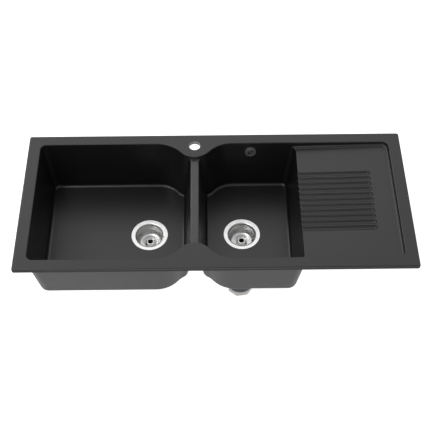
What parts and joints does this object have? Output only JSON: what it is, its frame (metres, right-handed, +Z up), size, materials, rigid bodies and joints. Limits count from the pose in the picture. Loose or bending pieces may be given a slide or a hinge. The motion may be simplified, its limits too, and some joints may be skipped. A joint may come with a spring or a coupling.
{
  "type": "double bowl kitchen sink",
  "caption": "Inset double bowl kitchen sink of black granite composite with a lowered divider, fluted drainer, tap hole, overflow, steel wastes and a bottle trap.",
  "frame": {"origin": "plan centre of the rim, in the plane of the worktop's top face, where the rim's underside rests", "axes": "+X along the sink towards the drainer, +Y towards the wall, +Z up"},
  "size_m": [1.16, 0.5, 0.5051],
  "materials": {
    "granite_composite": "matte, fine sparkling grain",
    "waste_steel": "brushed",
    "seal_rubber": "matte",
    "ring_card": "matte",
    "pipe_white": "smooth",
    "nut_dark": "satin, ribbed",
    "cup_white": "smooth, slightly milky",
    "rosette_black": "satin",
    "screw_steel": "dark passivated"
  },
  "bodies": {
    "sink": {"sink_body": "granite_composite", "left_strainer_cup": "waste_steel", "left_flange_seal": "seal_rubber", "left_under_gasket": "seal_rubber", "left_friction_ring": "ring_card", "left_lock_nut": "nut_dark", "left_tail_nut": "nut_dark", "left_tail_washer": "seal_rubber", "right_strainer_cup": "waste_steel", "right_flange_seal": "seal_rubber", "right_under_gasket": "seal_rubber", "right_friction_ring": "ring_card", "right_lock_nut": "nut_dark", "right_tail_nut": "nut_dark", "right_tail_washer": "seal_rubber", "left_waste_elbow": "pipe_white", "left_elbow_washer": "seal_rubber", "left_elbow_nut": "nut_dark", "cross_pipe": "pipe_white", "tee_branch_washer": "seal_rubber", "tee_branch_nut": "nut_dark", "waste_tee": "pipe_white", "tee_outlet_nut": "nut_dark", "tee_outlet_washer": "seal_rubber", "trap_inlet_pipe": "pipe_white", "overflow_rosette": "rosette_black", "overflow_screw": "screw_steel", "overflow_gasket": "seal_rubber", "overflow_housing": "pipe_white"},
    "trap": {"trap_body": "pipe_white", "trap_collar": "nut_dark", "trap_inlet_nut": "nut_dark", "trap_inlet_washer": "seal_rubber", "trap_outlet_nut": "nut_dark", "trap_outlet_washer": "seal_rubber", "trap_outlet_pipe": "pipe_white"},
    "cup_seal": {"trap_cup_seal": "seal_rubber"},
    "trap_cup": {"trap_cup": "cup_white"}
  },
  "joints": [
    {"name": "trap_swivel", "type": "hinge", "parent": "sink", "child": "trap", "pos_m": [0.0837, 0, -0.4033], "axis": [0, 0, 1], "range_deg": [-90, 90]},
    {"name": "cup_drop", "type": "slide", "parent": "trap", "child": "cup_seal", "axis": [0, 0, -1], "range_m": [0, 0.015]},
    {"name": "cup_turn", "type": "hinge", "parent": "cup_seal", "child": "trap_cup", "pos_m": [0.0837, 0, -0.47], "axis": [0, 0, -1], "range_deg": [0, 1080]}
  ],
  "couplings": [
    {"joint": "cup_turn", "follows": "cup_drop", "rad_per_m": 1256.6}
  ]
}
